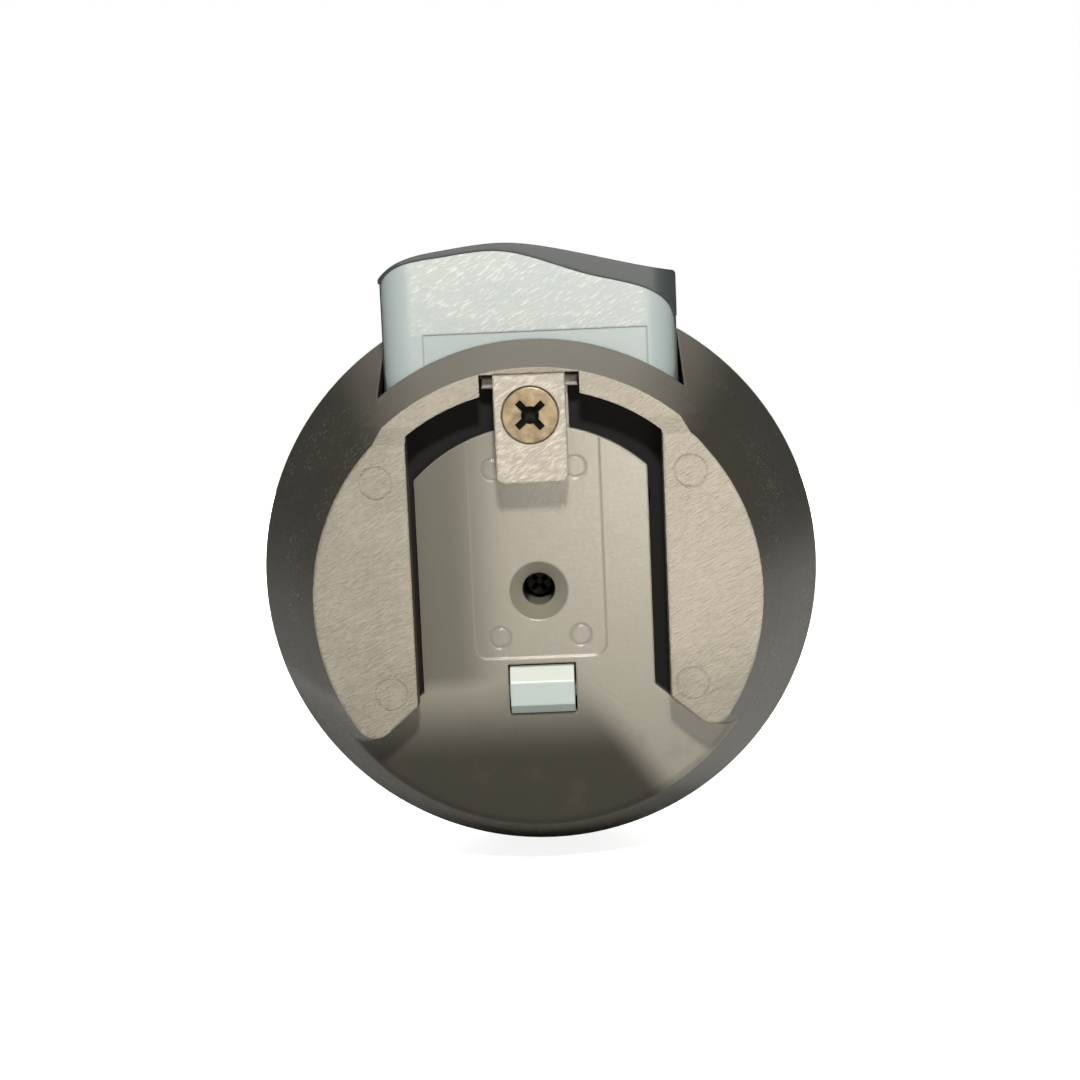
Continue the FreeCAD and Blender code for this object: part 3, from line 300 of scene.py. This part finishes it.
def makeClipNylon(s):
    # glass-filled nylon: a coarse dragged surface with bright high points, and edges painted paler, partly
    # rubbed and partly a painted edge highlight
    material, tree, shader, coords = startMaterial("glassFilledNylonClip", s["colour"], 0.5)
    slant = addNode(tree, "Mapping", {0: (coords, "Object"),
                                      "Rotation": (0, math.radians(s["streakDeg"]), 0)})
    long, across = s["grainMm"]
    stretched = addNode(tree, "Mapping", {0: (slant, 0),
                                          "Scale": (perMetre(long), perMetre(across), perMetre(across))})
    grain = addNode(tree, "TexNoise", {"Vector": (stretched, 0), "Scale": 1.0, "Detail": 4.0,
                                       "Roughness": 0.6})
    peaks = addNode(tree, "MapRange", {0: (grain, 0), 1: 0.45, 2: 0.68, 3: 0.0, 4: 0.8})
    soft = addNode(tree, "Bevel", {"Radius": s["edgeMm"] * mm}, samples=6)
    sharp = addNode(tree, "NewGeometry")
    agree = addNode(tree, "VectorMath", {0: (soft, 0), 1: (sharp, "True Normal")}, operation="DOT_PRODUCT")
    edge = addNode(tree, "MapRange", {0: (agree, "Value"), 1: 0.985, 2: 0.80, 3: 0.0, 4: 0.7})
    share = addNode(tree, "Math", {0: (peaks, 0), 1: (edge, 0)}, operation="MAXIMUM")
    colour = addNode(tree, "Mix", {0: (share, 0), 6: toLinear(s["colour"]), 7: toLinear(s["pale"])},
                     data_type="RGBA")
    tree.links.new(colour.outputs[2], shader.inputs["Base Color"])
    bump = addNode(tree, "Bump", {"Height": (grain, 0), "Strength": s["bump"], "Distance": 0.3 * mm,
                                  "Normal": (soft, 0)})
    tree.links.new(bump.outputs[0], shader.inputs["Normal"])
    return material


button = {"colour": "#869295", "scuffed": "#939b9b", "flake": "#a9aeaa", "scuffSide": 17.6,
          "scuffSoft": 1.2,
          "lineZ": 40.2, "streakDeg": 30, "grainMm": (1.5, 0.34)}


def makeButtonAcetal(s):
    # light blue-grey acetal: a smooth skin at the sides and a scuffed, whitened middle above the line
    material, tree, shader, coords = startMaterial("mouldedAcetalButton", s["colour"], 0.42)
    place = (coords, "Object")
    apart = addNode(tree, "SeparateXYZ", {0: place})
    off = addNode(tree, "Math", {0: (apart, 0)}, operation="ABSOLUTE")
    middle = addNode(tree, "MapRange", {0: (off, 0), 1: s["scuffSide"] * mm,
                                        2: (s["scuffSide"] + s["scuffSoft"]) * mm,
                                        3: 1.0, 4: 0.0})
    above = addNode(tree, "MapRange", {0: (apart, 2), 1: (s["lineZ"] - 0.2) * mm,
                                       2: (s["lineZ"] + 0.2) * mm,
                                       3: 0.12, 4: 1.0})
    facing = addNode(tree, "SeparateXYZ", {0: (coords, "Normal")})
    flatly = addNode(tree, "MapRange", {0: (facing, 1), 1: -0.8, 2: -0.95})
    zone = addNode(tree, "Math", {0: (middle, 0), 1: (above, 0)}, operation="MULTIPLY")
    zone = addNode(tree, "Math", {0: (zone, 0), 1: (flatly, 0)}, operation="MULTIPLY")
    slant = addNode(tree, "Mapping", {0: place, "Rotation": (0, math.radians(s["streakDeg"]), 0)})
    long, across = s["grainMm"]
    stretched = addNode(tree, "Mapping", {0: (slant, 0),
                                          "Scale": (perMetre(long), perMetre(across), perMetre(across))})
    streaks = addNode(tree, "TexNoise", {"Vector": (stretched, 0), "Scale": 1.0, "Detail": 3.0,
                                         "Roughness": 0.6})
    clouds = addNode(tree, "TexNoise", {"Vector": place, "Scale": perMetre(7.5), "Detail": 4.0,
                                        "Roughness": 0.6})
    cloudy = addNode(tree, "MapRange", {0: (clouds, 0), 1: 0.38, 2: 0.62, 3: 0.45, 4: 1.0})
    share = addNode(tree, "Math", {0: (zone, 0), 1: (cloudy, 0)}, operation="MULTIPLY")
    flakes = addNode(tree, "MapRange", {0: (streaks, 0), 1: 0.54, 2: 0.64})
    flaked = addNode(tree, "Math", {0: (flakes, 0), 1: (share, 0)}, operation="MULTIPLY")
    skin = addNode(tree, "Mix", {0: (share, 0), 6: toLinear(s["colour"]), 7: toLinear(s["scuffed"])},
                   data_type="RGBA")
    colour = addNode(tree, "Mix", {0: (flaked, 0), 6: (skin, 2), 7: toLinear(s["flake"])}, data_type="RGBA")
    tree.links.new(colour.outputs[2], shader.inputs["Base Color"])
    rough = addNode(tree, "MapRange", {0: (share, 0), 3: 0.36, 4: 0.55})
    tree.links.new(rough.outputs[0], shader.inputs["Roughness"])
    soft = addNode(tree, "Bevel", {"Radius": 0.5 * mm}, samples=6)
    depth = addNode(tree, "MapRange", {0: (share, 0), 3: 0.02, 4: 0.5})
    bump = addNode(tree, "Bump", {"Height": (streaks, 0), "Strength": (depth, 0), "Distance": 0.25 * mm,
                                  "Normal": (soft, 0)})
    tree.links.new(bump.outputs[0], shader.inputs["Normal"])
    return material


latch = {"colour": "#8c9998", "paintedHighlight": "#b2bab6", "edgeMm": 0.4}


def makeLatchAcetal(s):
    # the button's acetal, smooth, with its upper bevel painted pale as a painted highlight from above
    material, tree, shader, coords = startMaterial("mouldedAcetalLatch", s["colour"], 0.3)
    facing = addNode(tree, "SeparateXYZ", {0: (coords, "Normal")})
    # painted highlight: faces turned upwards are painted paler
    bevelled = addNode(tree, "MapRange", {0: (facing, 2), 1: 0.2, 2: 0.5})
    colour = addNode(tree, "Mix", {0: (bevelled, 0), 6: toLinear(s["colour"]), 7: toLinear(s["paintedHighlight"])},
                     data_type="RGBA")
    tree.links.new(colour.outputs[2], shader.inputs["Base Color"])
    soft = addNode(tree, "Bevel", {"Radius": s["edgeMm"] * mm}, samples=4)
    tree.links.new(soft.outputs[0], shader.inputs["Normal"])
    return material


def makePlain(name, colour, roughness, edgeMm=0.25, bump=0.06, grainMm=0.4, **constants):
    # a fine, even surface with a trace of grain and softened edges
    material, tree, shader, coords = startMaterial(name, colour, roughness, **constants)
    grain = addNode(tree, "TexNoise", {"Vector": (coords, "Object"), "Scale": perMetre(grainMm),
                                       "Detail": 3.0})
    soft = addNode(tree, "Bevel", {"Radius": edgeMm * mm}, samples=4)
    shift = addNode(tree, "Bump", {"Height": (grain, 0), "Strength": bump, "Distance": 0.2 * mm,
                                   "Normal": (soft, 0)})
    tree.links.new(shift.outputs[0], shader.inputs["Normal"])
    return material


def makeWornMetal(name, colour, dull, roughness, wearMm):
    # a plated or bare metal, with a patchy bloom that is duller and rougher
    material, tree, shader, coords = startMaterial(name, colour, roughness, Metallic=1.0)
    patches = addNode(tree, "TexNoise", {"Vector": (coords, "Object"), "Scale": perMetre(wearMm),
                                         "Detail": 5.0,
                                         "Roughness": 0.65})
    share = addNode(tree, "MapRange", {0: (patches, 0), 1: 0.38, 2: 0.66})
    mixed = addNode(tree, "Mix", {0: (share, 0), 6: toLinear(colour), 7: toLinear(dull)}, data_type="RGBA")
    tree.links.new(mixed.outputs[2], shader.inputs["Base Color"])
    rough = addNode(tree, "MapRange", {0: (share, 0), 3: roughness, 4: roughness + 0.2})
    tree.links.new(rough.outputs[0], shader.inputs["Roughness"])
    soft = addNode(tree, "Bevel", {"Radius": 0.2 * mm}, samples=4)
    shift = addNode(tree, "Bump", {"Height": (patches, 0), "Strength": 0.15, "Distance": 0.15 * mm,
                                   "Normal": (soft, 0)})
    tree.links.new(shift.outputs[0], shader.inputs["Normal"])
    return material


def makeBoard(name, colour, trackColour):
    # a solder mask over fibreglass, with copper tracks that show through as a paler net
    material, tree, shader, coords = startMaterial(name, colour, 0.3)
    net = addNode(tree, "TexBrick", {"Vector": (coords, "Object"), "Color1": toLinear(colour),
                                     "Color2": toLinear(colour),
                                     "Mortar": toLinear(trackColour), "Scale": perMetre(6),
                                     "Mortar Size": 0.03,
                                     "Mortar Smooth": 0.2})
    tree.links.new(net.outputs[0], shader.inputs["Base Color"])
    return material


housingPlastic = makeHousingPlastic(housing)
clipNylon = makeClipNylon(clip)
buttonAcetal = makeButtonAcetal(button)
latchAcetal = makeLatchAcetal(latch)
capRubber = makePlain("softTouchCap", "#2e3538", 0.5, 0.5)
screwZinc = makeWornMetal("yellowZincScrew", "#7f745f", "#655c4d", 0.36, 1.6)
# painted shade: the case screw deep in its hole is coloured near-black to stand for the shade there
caseScrewShade = makeWornMetal("caseScrewPaintedShade", "#181716", "#0c0c0b", 0.35, 1.5)
recessShade = makePlain("paintedRecessShade", "#141210", 0.6, Specular_IOR_Level=0.1)
plainSteel = makeWornMetal("zincPlatedSteel", "#9b9ea2", "#777a7e", 0.3, 2.0)
springSteel = makePlain("drawnSpringWire", "#7d8085", 0.3, Metallic=1.0)
# partly painted shade: the inner black parts and the slot shield are made near-black and barely glossy so
# the slots read as shade
innerBlackAndShade = makePlain("blackMouldingWithSlotShade", "#050505", 0.7, Specular_IOR_Level=0.2)
sealRubber = makePlain("siliconeSeal", "#141414", 0.7)
frontPlastic = makePlain("mouldedFrontShell", "#34363a", 0.5, 0.4, 0.22, 0.5)
fasciaGloss = makePlain("glossFascia", "#0f1418", 0.14, Coat_Weight=0.6)
printWhite = makePlain("screenPrint", "#d9dcd8", 0.5)
segmentInk = makePlain("liquidCrystalSegments", "#1b2017", 0.4)
lensGlass = makePlain("hardCoatedWindow", "#c9d2d2", 0.04, bump=0.0, Alpha=0.12)
displayCell = makePlain("liquidCrystalCell", "#9aa487", 0.3)
whiteMoulding = makePlain("whiteHolder", "#d8d6cf", 0.5)
keyRubber = makePlain("siliconeKey", "#8d979b", 0.55, 0.5)
okRubber = makePlain("greenSiliconeKey", "#1d7d57", 0.5, 0.5)
boardMask = makeBoard("solderMaskBoard", "#0f4a2a", "#2a6e45")
chipMould = makePlain("epoxyPackage", "#17181a", 0.5)
cellSleeve = makePlain("sleevedCell", "#274b6e", 0.3)
nickelSteel = makeWornMetal("nickelPlatedContact", "#b8b5ab", "#96938a", 0.25, 3.0)
flexFilm = makePlain("polyimideFlex", "#a0621c", 0.3)
lightPipe = makePlain("clearLightPipe", "#cfe6d8", 0.1, Transmission_Weight=0.6, IOR=1.58)

finishes = {"rear_shell": housingPlastic, "retainer_clip": clipNylon, "retainer_screw": screwZinc,
            "case_screw": caseScrewShade, "slot_shield": innerBlackAndShade, "release_button": buttonAcetal,
            "button_cap": capRubber, "release_slider": innerBlackAndShade, "latch_bolt": latchAcetal,
            "latch_spring": springSteel, "return_springs": springSteel, "inner_chassis": innerBlackAndShade,
            "chassis_screws": plainSteel, "perimeter_seal": sealRubber, "front_shell": frontPlastic,
            "fascia": fasciaGloss, "window_lens": lensGlass, "lens_gasket": sealRubber,
            "display_panel": displayCell, "display_frame": whiteMoulding, "tap_antenna": flexFilm,
            "status_light": lightPipe, "sounder": chipMould, "main_board": boardMask,
            "board_components": chipMould, "key_switches": chipMould, "board_screws": plainSteel,
            "battery_cells": cellSleeve, "battery_tray": innerBlackAndShade, "battery_contacts": nickelSteel,
            "key_minus": keyRubber, "key_ok": okRubber, "key_plus": keyRubber}
for name, material in finishes.items():
    setMaterial(nodes[name], material)
print("materials made")


# painted shade: the retainer screw's recess is painted dark: its faces below the head's face take a second
# material

recess = {"faceDepth": 0.06, "reach": 3.0}


def darkenRecess(node, s):
    mesh = node.data
    mesh.materials.append(recessShade)
    low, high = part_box("retainer_screw")
    middle = Vector(((low.x + high.x) / 2, 0, (low.z + high.z) / 2))
    for face in mesh.polygons:
        centre = face.center
        off = (Vector((centre.x, 0, centre.z)) - middle).length
        if off < s["reach"] * mm and centre.y > low.y + s["faceDepth"] * mm:
            face.material_index = 1


darkenRecess(nodes["retainer_screw"], recess)
print("recess darkened")


# the display's digits: plain segments on the liquid crystal cell

display = {"digits": "0130", "height": 11.0, "width": 5.8, "gap": 2.6, "stroke": 1.1, "middleZ": 18.2,
           "rise": 0.06,
           "signHalf": 0.65, "signAt": (0.3, 0.7), "signRoom": 2.4, "cut": 0.9, "split": 0.3, "end": 0.5,
           "marks": 12, "tallMarks": 7, "markHalf": 0.8, "markFoot": 2.6, "markTops": (1.4, 1.8),
           "markInset": 2}
segmentsOn = {"0": "abcdef", "1": "bc", "3": "abgcd"}


def makeDigits(s):
    work = bmesh.new()
    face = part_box("display_panel")[1].y / mm
    y = (face, face + s["rise"])
    w, h, t = s["width"], s["height"], s["stroke"]
    count = len(s["digits"])
    total = count * w + (count - 1) * s["gap"] + s["signRoom"]
    # seen from the front, +X lies to the left
    start = total / 2
    cut, split, end = s["cut"], s["split"], s["end"]
    bars = {"a": (cut, w - cut, h - t, h), "g": (cut, w - cut, h / 2 - t / 2, h / 2 + t / 2),
            "d": (cut, w - cut, 0, t),
            "f": (0, t, h / 2 + split, h - end), "b": (w - t, w, h / 2 + split, h - end),
            "e": (0, t, end, h / 2 - split), "c": (w - t, w, end, h / 2 - split)}
    low = s["middleZ"] - h / 2
    for place, digit in enumerate(s["digits"]):
        left = start - place * (w + s["gap"]) - (s["signRoom"] if place > 1 else 0)
        for name in segmentsOn[digit]:
            x0, x1, z0, z1 = bars[name]
            addBlock(work, (left - x1, y[0], low + z0), (left - x0, y[1], low + z1))
        if place == 1:
            dot = left - w - s["gap"] / 2 - s["signRoom"] / 2
            for share in s["signAt"]:
                z = low + h * share
                half = s["signHalf"]
                addBlock(work, (dot - half, y[0], z - half), (dot + half, y[1], z + half))
    # a row of small marks along the bottom, a bar gauge without lettering
    half, inset = s["markHalf"], s["markInset"]
    for step in range(s["marks"]):
        x = start - inset - step * (total - 2 * inset) / (s["marks"] - 1)
        top = low - s["markTops"][step > s["tallMarks"]]
        addBlock(work, (x - half, y[0], low - s["markFoot"]), (x + half, y[1], top))
    addPiece("displayDigits", work, segmentInk)


makeDigits(display)
print("digits made")


# print on the fascia: three arcs and a dot below the keys, where a card is held

fasciaPrint = {"rise": 0.05, "arcs": (2.2, 4.0, 5.8), "arcWidth": 0.55, "arcHalf": 40, "arcX": 3.6,
               "arcZ": -25.5,
               "dotRadius": 0.9, "dotHole": 0.05, "dotTurn": 359.9, "sink": 0.01, "steps": 18}


def addRingPart(work, x, z, inner, outer, start, end, y, steps):
    # a flat arc band between two angles, drawn on the front
    rows = []
    for step in range(steps + 1):
        angle = math.radians(start + (end - start) * step / steps)
        corners = [Vector((x + math.cos(angle) * r, 0, z + math.sin(angle) * r)) for r in (inner, outer)]
        rows.append([work.verts.new(Vector((c.x, level, c.z)) * mm) for level in y for c in corners])
    for a, b in zip(rows, rows[1:]):
        for i, j in ((0, 1), (1, 3), (3, 2), (2, 0)):
            work.faces.new((a[i], a[j], b[j], b[i]))
    for row in (rows[0], rows[-1]):
        work.faces.new((row[0], row[1], row[3], row[2]))


def makeFasciaPrint(s):
    work = bmesh.new()
    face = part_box("fascia")[1].y / mm
    y = (face - s["sink"], face + s["rise"])
    half = s["arcHalf"]
    for radius in s["arcs"]:
        addRingPart(work, s["arcX"], s["arcZ"], radius, radius + s["arcWidth"], 180 - half, 180 + half, y,
                    s["steps"])
    addRingPart(work, s["arcX"], s["arcZ"], s["dotHole"], s["dotRadius"], 0, s["dotTurn"], y, s["steps"])
    bmesh.ops.recalc_face_normals(work, faces=work.faces)
    addPiece("fasciaPrint", work, printWhite)


makeFasciaPrint(fasciaPrint)
print("fascia printed")


# the springs: copies of their coils as pieces of their own, with the original coils hidden

springs = {"returnCoils": {"node": "return_springs", "joint": "release_press", "axis": 2, "travel": 3.5},
           "latchCoil": {"node": "latch_spring", "joint": "release_press", "axis": 1, "travel": -2.6}}


def makeSpring(name, s):
    work = bmesh.new()
    work.from_mesh(nodes[s["node"]].data)
    piece = addPiece(name, work, springSteel)
    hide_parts(s["node"])
    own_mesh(piece)


for name, settings in springs.items():
    makeSpring(name, settings)
print("springs made")


# floor, light and world

stageSettings = {"floorColour": "#f2f2f0", "floorSize": 14.0, "floorGap": 0.2, "glow": 0.86}


def makeFloor(s):
    work = bmesh.new()
    bmesh.ops.create_grid(work, x_segments=1, y_segments=1, size=s["floorSize"] / 2)
    bmesh.ops.translate(work, verts=work.verts, vec=(0, 0, cadBox[0][2] - s["floorGap"] * mm))
    mesh = bpy.data.meshes.new("floor")
    work.to_mesh(mesh)
    work.free()
    floor = bpy.data.objects.new("floor", mesh)
    scene.collection.objects.link(floor)
    material, tree, shader, coords = startMaterial("paleFloor", s["floorColour"], 0.9)
    # lit evenly to the horizon: what the camera sees glows a little, what the object receives does not
    path = addNode(tree, "LightPath")
    glow = addNode(tree, "Math", {0: (path, "Is Camera Ray"), 1: s["glow"]}, operation="MULTIPLY")
    shader.inputs["Emission Color"].default_value = (1, 1, 1, 1)
    tree.links.new(glow.outputs[0], shader.inputs["Emission Strength"])
    setMaterial(floor, material)


surround = {"seen": 1.0, "given": 0.16}


def makeWorld(s):
    # a pale surround: the camera sees it near white, and it lights the object more softly than that
    world = bpy.data.worlds.new("surround")
    scene.world = world
    world.use_nodes = True
    tree = world.node_tree
    ground = tree.nodes["Background"]
    path = addNode(tree, "LightPath")
    strength = addNode(tree, "Mix", {0: (path, "Is Camera Ray"), 2: s["given"], 3: s["seen"]})
    tree.links.new(strength.outputs[0], ground.inputs["Strength"])
    ground.inputs["Color"].default_value = (1, 1, 1, 1)


lamps = {"topLight": {"place": (15, -330, 211), "size": 34, "watts": 2.1, "colour": "#fff9f0"},
         "lowSideLight": {"place": (-380, -500, -170), "size": 46, "watts": 5.4, "colour": "#fff6ea"},
         "sheenLight": {"place": (66, -500, -48), "size": 120, "watts": 1.1, "colour": "#fff3e2"},
         "frontPanel": {"place": (0, 620, 90), "size": 260, "watts": 4.0, "colour": "#ffffff"},
         "skyPanel": {"place": (0, 450, 440), "size": 360, "watts": 1.0, "colour": "#ffffff"}}


def addLamp(name, s):
    # a square soft light aimed at the object, places and size in millimetres
    data = bpy.data.lights.new(name, "AREA")
    data.size = s["size"] * mm
    data.energy = s["watts"]
    data.color = toLinear(s["colour"])[:3]
    lamp = bpy.data.objects.new(name, data)
    lamp.location = Vector(s["place"]) * mm
    lamp.rotation_euler = (-Vector(s["place"])).to_track_quat("-Z", "Y").to_euler()
    scene.collection.objects.link(lamp)


makeFloor(stageSettings)
makeWorld(surround)
for name, settings in lamps.items():
    addLamp(name, settings)
scene.view_settings.view_transform = "Standard"
print("stage lit")
